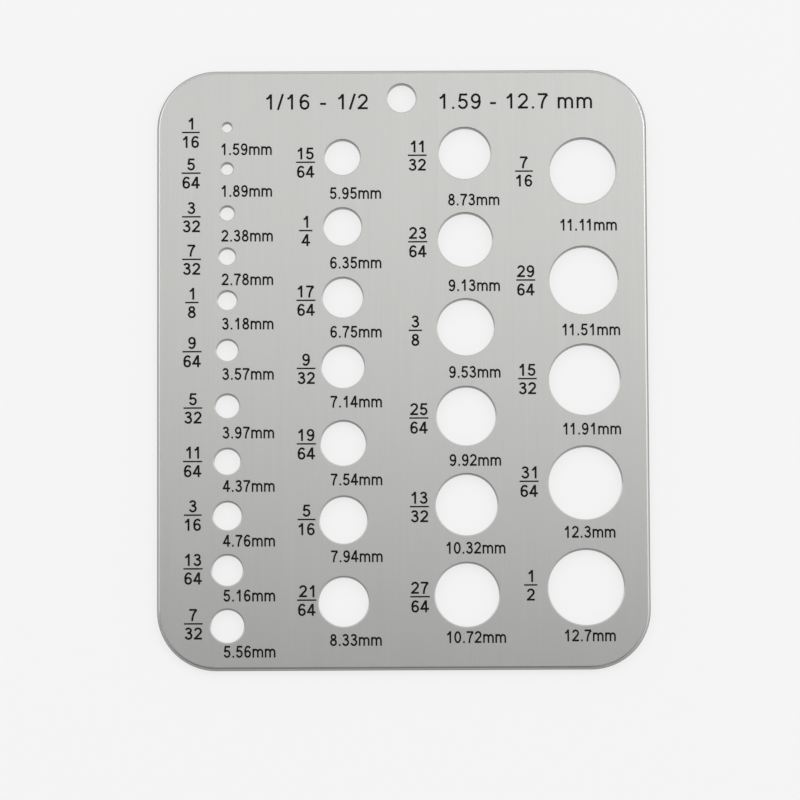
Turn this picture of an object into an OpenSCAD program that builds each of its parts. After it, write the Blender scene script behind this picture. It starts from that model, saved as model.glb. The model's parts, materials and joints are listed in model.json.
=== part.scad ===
// Drill size gauge: a flat steel plate with a graduated set of round holes.
// It lies on its back, marked face up. Millimetres; the origin is under the plate's middle.
// +X runs across the plate to the right, +Y runs up to the hanging end, +Z leaves the marked face.

/* [Plate] */
// Width of the plate
plate_w = 82.55; // [72:0.05:110]
// Height of the plate, from its foot to the hanging end
plate_h = 101.6; // [92:0.1:140]
// Thickness of the sheet
plate_t = 1.5; // [0.8:0.1:3]
// Radius of the four corners
corner_r = 10; // [3:0.5:15]
// Radius of the rounded outer edges, on both faces
edge_round = 0.55; // [0.05:0.05:0.65]

/* [Hanging hole] */
// Diameter of the hanging hole
hang_d = 4.8; // [3:0.1:7]
// Metal between the hanging hole and the top edge
hang_land = 2.4; // [1.5:0.1:4]

/* [Gauge holes] */
// Diameter of the smallest hole, in sixty-fourths of an inch
smallest_size = 4; // [2:1:6]
// Width of the shallow bevel round the rim of every hole, on both faces
rim_w = 0.2; // [0.05:0.01:0.4]
// Depth of that bevel
rim_depth = 0.1; // [0.05:0.01:0.3]

/* [Columns] */
// Metal between the left edge and the first column's widest hole
left_land = 9; // [4:0.1:11]
// Metal between the last column's widest hole and the right edge
right_land = 4.4; // [2:0.1:8]
// Metal between the columns' widest holes, left to right, for the plate as drawn
column_lands = [12.5, 11.1, 8.2]; // [5:0.1:16]
// Metal above each column's top hole, left to right
head_lands = [8.9, 11.9, 9.9, 11.8]; // [6:0.1:14]
// Metal below each column's bottom hole, left to right
foot_lands = [4.7, 7.3, 7.2, 7.4]; // [3:0.1:9]

/* [Rows] */
// Metal between neighbours down the first column, for the plate as drawn
first_lands = [5.3, 5.4, 4.8, 4.5, 5.1, 5.7, 5.2, 4.6, 4.2, 4]; // [3:0.1:8]
// Metal between neighbours down the second column, for the plate as drawn
second_lands = [5.7, 5.5, 4.8, 5.6, 5.2, 5.6]; // [3:0.1:8]
// Metal between neighbours down the third column, for the plate as drawn
third_lands = [5.8, 5.5, 5.3, 4.8, 4.6]; // [3:0.1:8]
// Metal between neighbours down the last column, for the plate as drawn
last_lands = [7.3, 5.1, 5.3, 5]; // [3:0.1:8]

/* [Hidden] */
$fn = 96;
// One sixty-fourth of an inch
size_unit = 25.4 / 64;
// How far cutters reach past the faces they cut
overrun = 1;
// The edge rounding and the rim bevel never use up the sheet
edge_r = min(edge_round, 0.45 * plate_t);
rim_t = min(rim_depth, 0.3 * plate_t);
row_lands = [first_lands, second_lands, third_lands, last_lands];
columns = [0:len(row_lands) - 1];
hang_y = plate_h / 2 - hang_land - hang_d / 2;

// Sum of the first n entries of a list
function sum(list, n) = n <= 0 ? 0 : list[n - 1] + sum(list, n - 1);

// Centres of round things set in a row that is as long as run: the metal left over
// between them is shared out in the same parts as lands.
function spread(sizes, lands, run) =
    let (
        clear = run - sum(sizes, len(sizes)),
        part = clear / sum(lands, len(lands))
    )
    [for (i = [0:len(sizes) - 1]) sum(sizes, i) + sizes[i] / 2 + part * sum(lands, i)];

// Holes in a column, and the diameters down it: each column carries on from the one before
function hole_count(c) = len(row_lands[c]) + 1;
function holes_before(c) = c == 0 ? 0 : holes_before(c - 1) + hole_count(c - 1);
function hole_ds(c) =
    [for (i = [0:hole_count(c) - 1]) (smallest_size + holes_before(c) + i) * size_unit];

// The widest hole of each column, and where the columns stand across the plate
widest_ds = [for (c = columns) max(hole_ds(c))];
column_xs = spread(widest_ds, column_lands, plate_w - left_land - right_land);
function column_x(c) = column_xs[c] + left_land - plate_w / 2;

// Heights of a column's holes, top to bottom
function hole_ys(c) =
    let (run = plate_h - head_lands[c] - foot_lands[c])
    [for (y = spread(hole_ds(c), row_lands[c], run)) plate_h / 2 - head_lands[c] - y];

// Half of the sheet's section, from a centre line out to its rounded edge
module half_section(reach) {
    square([reach - edge_r, plate_t]);
    translate([0, edge_r])
        square([reach, plate_t - 2 * edge_r]);
    for (z = [edge_r, plate_t - edge_r])
        translate([reach - edge_r, z])
            circle(edge_r);
}

// The sheet's whole section, drawn along an axis for the straight sides
module strip(width, length) {
    rotate([90, 0, 0])
        translate([0, 0, -length / 2])
            linear_extrude(length) {
                half_section(width / 2);
                mirror([1, 0])
                    half_section(width / 2);
            }
}

// The blank: two crossed strips, and a turned disc at each corner
module blank() {
    strip(plate_w, plate_h - 2 * corner_r);
    rotate([0, 0, 90])
        strip(plate_h, plate_w - 2 * corner_r);
    for (x = [-1, 1], y = [-1, 1])
        translate([x * (plate_w / 2 - corner_r), y * (plate_h / 2 - corner_r), 0])
            rotate_extrude()
                half_section(corner_r);
}

// A straight hole with a bevelled rim on each face
module hole_cut(d) {
    translate([0, 0, -overrun])
        cylinder(h = plate_t + 2 * overrun, d = d);
    for (side = [0, 1])
        translate([0, 0, side * plate_t])
            mirror([0, 0, side])
                translate([0, 0, -rim_t])
                    cylinder(h = 2 * rim_t, d1 = d + 4 * rim_w, d2 = d);
}

module gauge_plate() {
    color("lightgray")
        difference() {
            blank();
            translate([0, hang_y, 0])
                hole_cut(hang_d);
            for (c = columns, i = [0:hole_count(c) - 1])
                translate([column_x(c), hole_ys(c)[i], 0])
                    hole_cut(hole_ds(c)[i]);
        }
}

gauge_plate();
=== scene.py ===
"""Looks of a drill size gauge: a brushed steel plate with printed sizes, lying on a pale floor."""

import json
from math import ceil, cos, gcd, radians, sin

import bpy
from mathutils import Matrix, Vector
from mathutils.geometry import delaunay_2d_cdt


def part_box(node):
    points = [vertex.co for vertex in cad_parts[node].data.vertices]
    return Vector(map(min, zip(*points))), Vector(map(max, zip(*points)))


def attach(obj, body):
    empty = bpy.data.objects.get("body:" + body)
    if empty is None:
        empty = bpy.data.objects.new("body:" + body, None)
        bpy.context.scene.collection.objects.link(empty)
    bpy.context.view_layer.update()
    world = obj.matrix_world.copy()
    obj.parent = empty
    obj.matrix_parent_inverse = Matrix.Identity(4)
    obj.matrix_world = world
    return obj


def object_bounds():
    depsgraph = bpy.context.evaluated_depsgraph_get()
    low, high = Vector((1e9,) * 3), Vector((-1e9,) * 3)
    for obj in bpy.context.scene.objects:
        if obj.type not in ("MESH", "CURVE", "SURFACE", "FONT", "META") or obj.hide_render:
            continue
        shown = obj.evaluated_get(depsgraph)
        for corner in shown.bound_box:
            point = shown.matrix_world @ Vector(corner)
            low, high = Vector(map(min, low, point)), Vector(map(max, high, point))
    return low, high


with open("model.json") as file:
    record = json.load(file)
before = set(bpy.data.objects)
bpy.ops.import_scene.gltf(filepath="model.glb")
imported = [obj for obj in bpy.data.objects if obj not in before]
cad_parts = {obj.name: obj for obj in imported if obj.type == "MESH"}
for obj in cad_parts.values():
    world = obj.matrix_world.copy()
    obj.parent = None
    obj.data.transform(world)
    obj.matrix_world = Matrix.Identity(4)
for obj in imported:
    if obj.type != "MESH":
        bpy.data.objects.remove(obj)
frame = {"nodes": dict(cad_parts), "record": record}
cad_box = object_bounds()

# Units: metres in a millimetre, millimetres in an inch, and the parts of an inch that size the holes
MM = 0.001
INCH = 25.4
INCH_PARTS = 64

# Height of the marked face, in metres
PLATE_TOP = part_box("gauge_plate")[1].z

# Printed numbers, in millimetres; the stretch is a share of their usual width
FRACTION_CAP = 2.03
METRIC_CAP = 2.0
METRIC_STRETCH = 0.88
HEADING_CAP = 2.63
INK_FILM = 0.02
BAR_THICK = 0.25
BAR_OVERHANG = 0.13
ONE_DIGIT_BAR = 2.25
NUMERATOR_GAP = 0.36
DENOMINATOR_GAP = 0.48

# The range of sizes at the top of the plate: each text, and its left and right end in millimetres
HEADING_BASELINE = 44.15
HEADINGS = (
    ("1/16 - 1/2", (-22.9, -5.7)),
    ("1.59 - 12.7 mm", (6.4, 32.2)),
)

# Where the sizes stand beside the holes of each column, in millimetres, at its top and its bottom hole:
# fraction_left and fraction_rise place the fraction's bar, size_right and size_drop the metric size's
# middle and foot, all from the hole's centre
COLUMN_MARKS = (
    {
        "fraction_left": (6.1, 5.7),
        "fraction_rise": (-0.8, 0.4),
        "size_right": (3.3, 3.7),
        "size_drop": (4.7, 5.3),
    },
    {
        "fraction_left": (6.2, 6.2),
        "fraction_rise": (-0.8, 0.3),
        "size_right": (2.2, 2.2),
        "size_drop": (7.1, 7.1),
    },
    {
        "fraction_left": (8.0, 7.9),
        "fraction_rise": (-0.3, -0.3),
        "size_right": (1.5, 1.5),
        "size_drop": (8.9, 8.1),
    },
    {
        "fraction_left": (9.9, 9.3),
        "fraction_rise": (0.0, 0.4),
        "size_right": (1.0, 0.6),
        "size_drop": (9.7, 9.1),
    },
)

# Sizes that the print sets off their column's line, by the hole's sixty-fourths: (right, up) in millimetres
STRAY_FRACTIONS = {10: (0.1, -0.2), 24: (-0.5, -0.2)}
STRAY_METRIC = {
    10: (0, -0.4),
    17: (0, 0.3),
    18: (0, 0.2),
    21: (-0.2, -0.3),
    28: (-0.1, -0.5),
    29: (0.3, 0.2),
    30: (0.4, 0.1),
}
IN_LINE = (0, 0)

# Two sizes that the plate itself prints wrongly, by the hole's sixty-fourths
MISPRINTED_FRACTIONS = {7: (7, 32)}
MISPRINTED_METRIC = {5: "1.89"}

# A hair in millimetres that makes a metric size halfway between two round up
ROUND_UP = 1e-6


# Pen strokes of the numerals, in cap heights; arcs are stepped in degrees

SIZE_PEN = 0.163
HEADING_PEN = 0.14
ARC_STEP = 15
CLOSED_GAP = 1e-6
MERGE_GAP = 1e-5
FLAT_ANGLE = 1
# What delaunay_2d_cdt keeps: only the triangles inside the patches
INSIDE_ONLY = 1

# How far the pen moves on after each character
ADVANCE = {".": 0.388, "-": 0.465, "/": 0.388, "m": 1.164, " ": 0.388}
DIGIT_ADVANCE = 0.777
ONES_CLOSER = 0.1


def bow(cx, cy, rx, ry, start, end):
    """Points along an oval arc, from one angle to another in degrees."""
    steps = max(2, ceil(abs(end - start) / ARC_STEP))
    angles = [radians(start + (end - start) * i / steps) for i in range(steps + 1)]
    return [Vector((cx + rx * cos(a), cy + ry * sin(a))) for a in angles]


def line(x0, y0, x1, y1):
    """The two ends of a straight stroke."""
    return [Vector((x0, y0)), Vector((x1, y1))]


def half_turn(paths, cx, cy):
    """The same strokes, turned upside down about a point."""
    middle = Vector((cx, cy))
    return [[2 * middle - p for p in path] for path in paths]


def strokes(pen):
    """The paths that a pen of the given width follows for each character."""
    half = pen / 2
    top = 1 - half

    def oval(cx, cy, rx, ry, start=0, end=360):
        """A bow whose outer edge, not its middle, has the given half width and half height."""
        return bow(cx, cy, rx - half, ry - half, start, end)

    six = [
        oval(0.392, 0.31, 0.315, 0.327),
        oval(0.41, 0.745, 0.29, 0.267, 15, 90)[:-1] + oval(0.41, 0.47, 0.35, 0.542, 90, 185),
    ]
    return {
        "0": [oval(0.387, 0.494, 0.33, 0.511)],
        "1": [line(0.455, 0, 0.455, 1), bow(0.1, 1.06, 0.33, 0.37, -80, -18)],
        "2": [
            oval(0.378, 0.69, 0.325, 0.318, 172, -40) + [Vector((0.135, half))],
            line(0.045, half, 0.7, half),
        ],
        "3": [
            oval(0.365, 0.747, 0.29, 0.26, 168, -95),
            oval(0.375, 0.297, 0.33, 0.315, 95, -168),
            line(0.27, 0.548, 0.4, 0.548),
        ],
        "4": [line(0.505, 0, 0.505, 1), line(0.02, 0.296, 0.735, 0.296), line(0.095, 0.27, 0.475, 0.965)],
        "5": [
            line(0.17, top, 0.668, top),
            line(0.235, 0.98, 0.16, 0.47),
            oval(0.375, 0.325, 0.33, 0.342, 146, -165),
        ],
        "6": six,
        "7": [line(0.066, top, 0.69, top), bow(0.95, -0.01, 0.63, 1.0, 180, 114)],
        "8": [oval(0.387, 0.738, 0.28, 0.268), oval(0.387, 0.288, 0.328, 0.302)],
        "9": half_turn(six, 0.387, 0.494),
        "m": [
            line(0.153, 0, 0.153, 0.741),
            line(0.581, 0, 0.581, 0.47),
            line(1.012, 0, 1.012, 0.47),
            bow(0.367, 0.46, 0.214, 0.29 - half, 180, 0),
            bow(0.7965, 0.46, 0.2155, 0.29 - half, 180, 0),
        ],
        ".": [line(0.197, 0, 0.197, pen)],
        "-": [line(0.044, 0.362, 0.42, 0.362)],
        "/": [line(0.03, -0.017, 0.358, 1.017)],
    }


def active(obj):
    """Makes obj the only selected object."""
    bpy.ops.object.select_all(action="DESELECT")
    obj.select_set(True)
    bpy.context.view_layer.objects.active = obj


def ribbon(path, width):
    """The two sides of a stroke of the given width along a path."""
    closed = (path[0] - path[-1]).length < CLOSED_GAP
    sides = []
    for i, p in enumerate(path):
        before = path[i - 1] if i else (path[-2] if closed else p)
        after = path[i + 1] if i + 1 < len(path) else (path[1] if closed else p)
        along = (after - before).normalized()
        across = Vector((-along.y, along.x)) * width / 2
        sides.append((p + across, p - across))
    return sides


def numeral(paths, pen):
    """A flat mesh of one character, its strokes merged into one sheet."""
    points = []
    patches = []
    for path in paths:
        sides = ribbon(path, pen)
        first = len(points)
        for left, right in sides:
            points += [left, right]
        for i in range(len(sides) - 1):
            a = first + 2 * i
            patches.append([a + 1, a + 3, a + 2, a])
    verts, _, faces, _, _, came_from = delaunay_2d_cdt(points, [], patches, INSIDE_ONLY, MERGE_GAP)
    inked = [f for f, patch in zip(faces, came_from) if patch]
    mesh = bpy.data.meshes.new("numeral")
    mesh.from_pydata([(v.x, v.y, 0) for v in verts], [], inked)
    obj = bpy.data.objects.new("numeral", mesh)
    bpy.context.collection.objects.link(obj)
    active(obj)
    bpy.ops.object.mode_set(mode="EDIT")
    bpy.ops.mesh.select_all(action="SELECT")
    bpy.ops.mesh.delete_loose()
    bpy.ops.mesh.select_all(action="SELECT")
    bpy.ops.mesh.dissolve_limited(angle_limit=radians(FLAT_ANGLE))
    bpy.ops.mesh.normals_make_consistent(inside=False)
    bpy.ops.object.mode_set(mode="OBJECT")
    return obj


def numerals(pen):
    """All characters drawn with one pen."""
    return {char: numeral(paths, pen) for char, paths in strokes(pen).items()}


SIZE_NUMERALS = numerals(SIZE_PEN)
HEADING_NUMERALS = numerals(HEADING_PEN)


# Printed sizes

def ink_reach(obj):
    """Left and right end of a character's ink, in cap heights."""
    xs = [v.co.x for v in obj.data.vertices]
    return min(xs), max(xs)


def pen_places(text, tracking=0):
    """Where each character of a text starts, in cap heights."""
    x = 0
    places = []
    for i, char in enumerate(text):
        if i and text[i - 1] == char == "1":
            x -= ONES_CLOSER
        places.append(x)
        x += ADVANCE.get(char, DIGIT_ADVANCE) + tracking
    return places


def text_reach(text, letters, tracking=0):
    """Left and right end of a text's ink, in cap heights."""
    places = pen_places(text, tracking)
    return places[0] + ink_reach(letters[text[0]])[0], places[-1] + ink_reach(letters[text[-1]])[1]


def printed(text, letters, middle, baseline, cap, tracking=0, stretch=1):
    """Copies of the characters that spell a text, centred on a place in millimetres."""
    left, right = text_reach(text, letters, tracking)
    wide = cap * stretch
    start = middle - wide * (left + right) / 2
    copies = []
    for char, x in zip(text, pen_places(text, tracking)):
        if char == " ":
            continue
        copy = letters[char].copy()
        copy.data = copy.data.copy()
        bpy.context.collection.objects.link(copy)
        copy.location = ((start + wide * x) * MM, baseline * MM, PLATE_TOP)
        copy.scale = (wide * MM, cap * MM, 1)
        copies.append(copy)
    return copies


def printed_bar(middle, height, length):
    """The bar of a fraction, as a flat strip."""
    bpy.ops.mesh.primitive_plane_add(size=1, location=(middle * MM, height * MM, PLATE_TOP))
    bar = bpy.context.object
    bar.scale = (length * MM, BAR_THICK * MM, 1)
    return [bar]


def tracking_to_fill(text, letters, length, cap):
    """The extra space between characters that makes a text as long as asked."""
    left, right = text_reach(text, letters)
    return (length / cap - (right - left)) / (len(text) - 1)


def ink_piece(name, marks):
    """Joins printed marks into one thin piece on the plate's face."""
    bpy.ops.object.select_all(action="DESELECT")
    for mark in marks:
        mark.select_set(True)
    bpy.context.view_layer.objects.active = marks[0]
    bpy.ops.object.join()
    piece = bpy.context.object
    piece.name = name
    bpy.ops.object.transform_apply(location=True, rotation=True, scale=True)
    film = piece.modifiers.new("film", "SOLIDIFY")
    film.thickness = INK_FILM * MM
    film.offset = 1
    bpy.ops.object.modifier_apply(modifier=film.name)
    piece.data.materials.clear()
    return piece


def gauge_holes():
    """The plate's sized holes as columns of (sixty-fourths, x, y), each from its top hole down."""
    columns = {}
    for mount in frame["record"]["mounts"]:
        if mount["kind"] == "bore" and mount["fit"] == "sliding":
            x, y, _ = mount["pos_m"]
            size = round(2 * mount["dims"]["r_mm"] / INCH * INCH_PARTS)
            columns.setdefault(round(x / MM), []).append((size, x / MM, y / MM))
    return [sorted(columns[x]) for x in sorted(columns)]


def fraction_marks(size, x, y):
    """A hole's size as a stacked fraction of an inch."""
    common = gcd(size, INCH_PARTS)
    top, bottom = MISPRINTED_FRACTIONS.get(size, (size // common, INCH_PARTS // common))
    top, bottom = str(top), str(bottom)
    reach = [text_reach(t, SIZE_NUMERALS) for t in (top, bottom)]
    wide = max(right - left for left, right in reach) * FRACTION_CAP + 2 * BAR_OVERHANG
    if len(bottom) == 1 and len(top) == 1:
        wide = ONE_DIGIT_BAR
    foot = y + BAR_THICK / 2 + NUMERATOR_GAP
    marks = printed(top, SIZE_NUMERALS, x, foot, FRACTION_CAP)
    foot = y - BAR_THICK / 2 - DENOMINATOR_GAP - FRACTION_CAP
    marks += printed(bottom, SIZE_NUMERALS, x, foot, FRACTION_CAP)
    return marks + printed_bar(x, y, wide)


def metric_text(size):
    """A hole's size in millimetres, as the plate prints it."""
    rounded = f"{size * INCH / INCH_PARTS + ROUND_UP:.2f}".rstrip("0")
    return MISPRINTED_METRIC.get(size, rounded) + "mm"


def between(pair, share):
    """The value a share of the way from a pair's first to its second."""
    return pair[0] + share * (pair[1] - pair[0])


def print_sizes():
    """Prints both sizes of every hole, and the range that the gauge covers."""
    fractions = []
    metrics = []
    for column, marks in zip(gauge_holes(), COLUMN_MARKS):
        for i, (size, x, y) in enumerate(column):
            share = i / (len(column) - 1)
            right, up = STRAY_FRACTIONS.get(size, IN_LINE)
            bar_x = x - between(marks["fraction_left"], share) + right
            bar_y = y + between(marks["fraction_rise"], share) + up
            fractions += fraction_marks(size, bar_x, bar_y)
            right, up = STRAY_METRIC.get(size, IN_LINE)
            size_x = x + between(marks["size_right"], share) + right
            size_y = y - between(marks["size_drop"], share) + up
            text = metric_text(size)
            metrics += printed(text, SIZE_NUMERALS, size_x, size_y, METRIC_CAP, 0, METRIC_STRETCH)
    headings = []
    for text, (left, right) in HEADINGS:
        middle = (left + right) / 2
        tracking = tracking_to_fill(text, HEADING_NUMERALS, right - left, HEADING_CAP)
        headings += printed(text, HEADING_NUMERALS, middle, HEADING_BASELINE, HEADING_CAP, tracking)
    pieces = [
        ink_piece("inch_fractions", fractions),
        ink_piece("metric_sizes", metrics),
        ink_piece("size_range", headings),
    ]
    for spare in (*SIZE_NUMERALS.values(), *HEADING_NUMERALS.values()):
        bpy.data.objects.remove(spare)
    return pieces


ink_pieces = print_sizes()


# Materials

# Brushing: name of the lines, how close they lie across and along the plate, and detail
BRUSH_LINES = (("Fine", 6500, 45, 3), ("Broad", 900, 14, 2))
# The part of a noise's range that most of it lies in
BRUSH_SPAN = (0.3, 0.7)
BRUSH_BUMP = 0.03
BRUSH_DEPTH = 0.00002

# Steel: its tones, among them a painted highlight tone for the shoulders and a darker cut wall tone that is
# partly painted shade, and its roughness on the brushed faces and on the rims and edges
FACE_TONES = ((0.532, 0.53, 0.517), (0.552, 0.55, 0.537))
# Painted highlight: brighter steel on the rounded shoulders of the left and right sides, standing in for
# the glint of the side softboxes
SHOULDER_HIGHLIGHT_TONE = (0.85, 0.85, 0.84)
# Cut walls of the holes and the plate's sides: darker steel, partly the cut metal's own darker colour and
# partly painted shade
CUT_WALL_SHADE_TONE = (0.2, 0.2, 0.196)
BRUSHED_ROUGHNESS = (0.365, 0.395)
RIM_ROUGHNESS = 0.28
BRUSHED_ANISOTROPY = 0.5

# How much a surface faces sideways or upwards, from 0 to 1, where the brushed face passes into the painted
# shoulder highlight, the darker cut wall and the smoother rim
SHOULDER_SIDEWAYS = (0.16, 0.3)
SHOULDER_UPRIGHT = (0.9, 0.92)
CUT_WALL_UPRIGHT = (0.45, 0.85)
RIM_UPRIGHT = (0.9, 0.99)

INK_TONES = ((0.004, 0.004, 0.004), (0.01, 0.01, 0.01))
INK_ROUGHNESS = (0.5, 0.65)
INK_GLOSS = 0.12

FLOOR_MATT = 0.18
FLOOR_GLOW = 0.77
FLOOR_ROUGHNESS = 0.8
FLOOR_GLOSS = 0.1
WHITE = (1, 1, 1, 1)


def new_material(name):
    """A new material, as (material, nodes, links, shader)."""
    material = bpy.data.materials.new(name)
    material.use_nodes = True
    nodes = material.node_tree.nodes
    return material, nodes, material.node_tree.links, nodes["Principled BSDF"]


def computed(nodes, links, operation, *values):
    """What a sum such as ADD or ABSOLUTE makes of one or two values."""
    node = nodes.new("ShaderNodeMath")
    node.operation = operation
    for place, value in zip(node.inputs, values):
        links.new(value, place)
    return node.outputs["Value"]


def ranged(nodes, links, value, low, high, source=BRUSH_SPAN):
    """A value spread from its own range to another."""
    spread = nodes.new("ShaderNodeMapRange")
    spread.inputs["From Min"].default_value = source[0]
    spread.inputs["From Max"].default_value = source[1]
    spread.inputs["To Min"].default_value = low
    spread.inputs["To Max"].default_value = high
    links.new(value, spread.inputs["Value"])
    return spread.outputs["Result"]


def value_mix(nodes, links, share, first, second):
    """A value between a socket's and a number, by a share."""
    mix = nodes.new("ShaderNodeMix")
    links.new(share, mix.inputs["Factor"])
    links.new(first, mix.inputs["A"])
    mix.inputs["B"].default_value = second
    return mix.outputs["Result"]


def colour_mix(nodes, links, share, first, second):
    """A colour between two, by a share: each is a colour or a socket."""
    mix = nodes.new("ShaderNodeMix")
    mix.data_type = "RGBA"
    links.new(share, mix.inputs["Factor"])
    for name, colour in (("A", first), ("B", second)):
        socket = next(s for s in mix.inputs if s.name == name and s.type == "RGBA")
        if isinstance(colour, tuple):
            socket.default_value = (*colour, 1)
        else:
            links.new(colour, socket)
    return next(s for s in mix.outputs if s.type == "RGBA")


def brushed_grain_group():
    """Straight brushing along Y: fine and broad lines from 0 to 1, and a height."""
    group = bpy.data.node_groups.new("brushed_grain", "ShaderNodeTree")
    group.interface.new_socket("Vector", in_out="INPUT", socket_type="NodeSocketVector")
    for name in ("Fine", "Broad", "Height"):
        group.interface.new_socket(name, in_out="OUTPUT", socket_type="NodeSocketFloat")
    nodes = group.nodes
    links = group.links
    start = nodes.new("NodeGroupInput")
    end = nodes.new("NodeGroupOutput")
    lines = {}
    for name, across, along, detail in BRUSH_LINES:
        mapping = nodes.new("ShaderNodeMapping")
        mapping.inputs["Scale"].default_value = (across, along, across)
        noise = nodes.new("ShaderNodeTexNoise")
        noise.inputs["Scale"].default_value = 1
        noise.inputs["Detail"].default_value = detail
        links.new(start.outputs["Vector"], mapping.inputs["Vector"])
        links.new(mapping.outputs["Vector"], noise.inputs["Vector"])
        links.new(noise.outputs["Fac"], end.inputs[name])
        lines[name] = noise.outputs["Fac"]
    links.new(computed(nodes, links, "ADD", lines["Fine"], lines["Broad"]), end.inputs["Height"])
    return group


GRAIN = brushed_grain_group()


def place_grain(nodes, links):
    """The grain group in a material, on the piece's own coordinates, as (grain, coordinates)."""
    grain = nodes.new("ShaderNodeGroup")
    grain.node_tree = GRAIN
    coordinates = nodes.new("ShaderNodeTexCoord")
    links.new(coordinates.outputs["Object"], grain.inputs["Vector"])
    return grain, coordinates


def brushed_steel():
    """Brushed stainless sheet, with a painted highlight on the shoulders of its long sides, and cut walls
    darker, partly the cut metal's own colour and partly painted shade.
    """
    material, nodes, links, shader = new_material("brushed_steel")
    grain, coordinates = place_grain(nodes, links)
    normal = nodes.new("ShaderNodeSeparateXYZ")
    links.new(coordinates.outputs["Normal"], normal.inputs["Vector"])
    upright = computed(nodes, links, "ABSOLUTE", normal.outputs["Z"])
    sideways = computed(nodes, links, "ABSOLUTE", normal.outputs["X"])
    fine = ranged(nodes, links, grain.outputs["Fine"], 0, 1)
    face = colour_mix(nodes, links, fine, *FACE_TONES)
    leaning = ranged(nodes, links, sideways, 0, 1, SHOULDER_SIDEWAYS)
    lying = ranged(nodes, links, upright, 0, 1, SHOULDER_UPRIGHT)
    # Painted highlight on the shoulders of the left and right sides
    shoulder_highlight = computed(nodes, links, "MULTIPLY", leaning, lying)
    highlighted_face = colour_mix(nodes, links, shoulder_highlight, face, SHOULDER_HIGHLIGHT_TONE)
    # Darker cut walls: partly the cut metal's own colour, partly painted shade
    wall_shade = ranged(nodes, links, upright, 1, 0, CUT_WALL_UPRIGHT)
    links.new(colour_mix(nodes, links, wall_shade, highlighted_face, CUT_WALL_SHADE_TONE), shader.inputs["Base Color"])
    brushed = ranged(nodes, links, grain.outputs["Broad"], *BRUSHED_ROUGHNESS)
    rim = ranged(nodes, links, upright, 1, 0, RIM_UPRIGHT)
    links.new(value_mix(nodes, links, rim, brushed, RIM_ROUGHNESS), shader.inputs["Roughness"])
    shader.inputs["Metallic"].default_value = 1
    shader.inputs["Anisotropic"].default_value = BRUSHED_ANISOTROPY
    tangent = nodes.new("ShaderNodeTangent")
    tangent.direction_type = "RADIAL"
    tangent.axis = "Y"
    links.new(tangent.outputs["Tangent"], shader.inputs["Tangent"])
    bump = nodes.new("ShaderNodeBump")
    bump.inputs["Strength"].default_value = BRUSH_BUMP
    bump.inputs["Distance"].default_value = BRUSH_DEPTH
    links.new(grain.outputs["Height"], bump.inputs["Height"])
    links.new(bump.outputs["Normal"], shader.inputs["Normal"])
    return material


def print_ink():
    """Flat black print, through which the brushing still shows a little."""
    material, nodes, links, shader = new_material("print_ink")
    grain, _ = place_grain(nodes, links)
    fine = ranged(nodes, links, grain.outputs["Fine"], 0, 1)
    links.new(colour_mix(nodes, links, fine, *INK_TONES), shader.inputs["Base Color"])
    rough = ranged(nodes, links, grain.outputs["Broad"], *INK_ROUGHNESS)
    links.new(rough, shader.inputs["Roughness"])
    shader.inputs["Specular IOR Level"].default_value = INK_GLOSS
    return material


def pale_floor():
    """Matt pale floor, which also glows where it is seen or mirrored, so it stays pale in small holes."""
    material, nodes, links, shader = new_material("pale_floor")
    shader.inputs["Base Color"].default_value = (FLOOR_MATT, FLOOR_MATT, FLOOR_MATT, 1)
    shader.inputs["Roughness"].default_value = FLOOR_ROUGHNESS
    shader.inputs["Specular IOR Level"].default_value = FLOOR_GLOSS
    path = nodes.new("ShaderNodeLightPath")
    seen = path.outputs["Is Camera Ray"]
    for ray in ("Is Glossy Ray", "Is Transmission Ray"):
        seen = computed(nodes, links, "MAXIMUM", seen, path.outputs[ray])
    glow = ranged(nodes, links, seen, 0, FLOOR_GLOW, (0, 1))
    shader.inputs["Emission Color"].default_value = WHITE
    links.new(glow, shader.inputs["Emission Strength"])
    return material


STEEL = brushed_steel()
INK = print_ink()

plate = frame["nodes"]["gauge_plate"]
for place in plate.material_slots:
    place.material = STEEL
for piece in ink_pieces:
    piece.data.materials.append(INK)
    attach(piece, "root")


# Floor, light and camera

FLOOR_SIZE = 6
FLOOR_GAP = 0.00002
bpy.ops.object.select_all(action="DESELECT")
bpy.ops.mesh.primitive_plane_add(size=FLOOR_SIZE, location=(0, 0, cad_box[0].z - FLOOR_GAP))
floor = bpy.context.object
floor.name = "floor"
floor.data.materials.append(pale_floor())

# Studio: pale walls on the far side, a darker ceiling, and a near side that is dark above its foot.
# A span says where one level passes into the next, by direction: towards the pale side, or upwards
WALL_LEVEL = 1.0
CEILING_LEVEL = 0.12
NEAR_FOOT_LEVEL = 0.9
NEAR_LEVEL = 0.3
PALE_SIDE = (0.34, 0.94, 0)
PALE_SPAN = (-0.75, 0.3)
NEAR_SPAN = (0.2, 0.5)
CEILING_SPAN = (0.7, 0.95)

# Softboxes overhead: name, place and size in metres, and power in watts
SOFTBOXES = (
    ("right_softbox", (0.28, 0.17, 0.51), 0.25, 0.405),
    ("left_softbox", (-0.28, 0.16, 0.51), 0.25, 0.332),
    ("overhead_softbox", (0.03, 0.13, 0.6), 0.25, 0.243),
)


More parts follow.
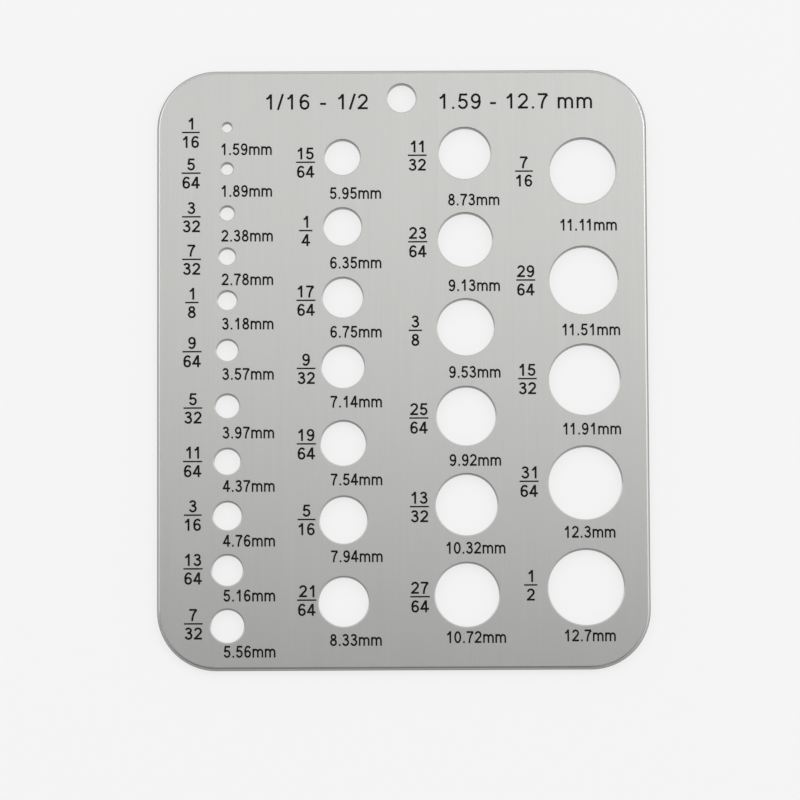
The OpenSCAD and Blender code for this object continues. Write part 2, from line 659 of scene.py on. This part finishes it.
def studio_world():
    """Plain light from all round, by the levels above."""
    world = bpy.data.worlds.new("studio")
    world.use_nodes = True
    nodes = world.node_tree.nodes
    links = world.node_tree.links
    direction = nodes.new("ShaderNodeTexCoord")
    split = nodes.new("ShaderNodeSeparateXYZ")
    links.new(direction.outputs["Generated"], split.inputs["Vector"])
    side = nodes.new("ShaderNodeVectorMath")
    side.operation = "DOT_PRODUCT"
    links.new(direction.outputs["Generated"], side.inputs[0])
    side.inputs[1].default_value = PALE_SIDE
    far = ranged(nodes, links, side.outputs["Value"], 0, 1, PALE_SPAN)
    near = ranged(nodes, links, split.outputs["Z"], NEAR_FOOT_LEVEL, NEAR_LEVEL, NEAR_SPAN)
    walls = value_mix(nodes, links, far, near, WALL_LEVEL)
    height = ranged(nodes, links, split.outputs["Z"], 0, 1, CEILING_SPAN)
    level = value_mix(nodes, links, height, walls, CEILING_LEVEL)
    links.new(level, nodes["Background"].inputs["Strength"])
    nodes["Background"].inputs["Color"].default_value = WHITE
    bpy.context.scene.world = world


def softbox(name, place, size, power):
    """A soft square lamp, aimed at the plate and out of the camera's sight."""
    lamp = bpy.data.lights.new(name, "AREA")
    lamp.size = size
    lamp.energy = power
    box = bpy.data.objects.new(name, lamp)
    bpy.context.collection.objects.link(box)
    box.location = place
    box.rotation_euler = (-Vector(place)).to_track_quat("-Z", "Y").to_euler()
    box.visible_camera = False


studio_world()
for box in SOFTBOXES:
    softbox(*box)

# Camera: place in metres, turn in degrees, lens and sensor in millimetres, nearest sight in metres
CAMERA_PLACE = (-0.00104, -0.12534, 0.95939)
CAMERA_TURN = (7.138, 0, -0.264)
CAMERA_LENS = 258.75
CAMERA_SENSOR = 36
CAMERA_NEAREST = 0.01
camera_data = bpy.data.cameras.new("camera")
camera_data.lens = CAMERA_LENS
camera_data.sensor_width = CAMERA_SENSOR
camera_data.clip_start = CAMERA_NEAREST
camera = bpy.data.objects.new("camera", camera_data)
bpy.context.collection.objects.link(camera)
camera.location = CAMERA_PLACE
camera.rotation_euler = [radians(a) for a in CAMERA_TURN]
bpy.context.scene.camera = camera

bpy.context.scene.view_settings.view_transform = "Standard"
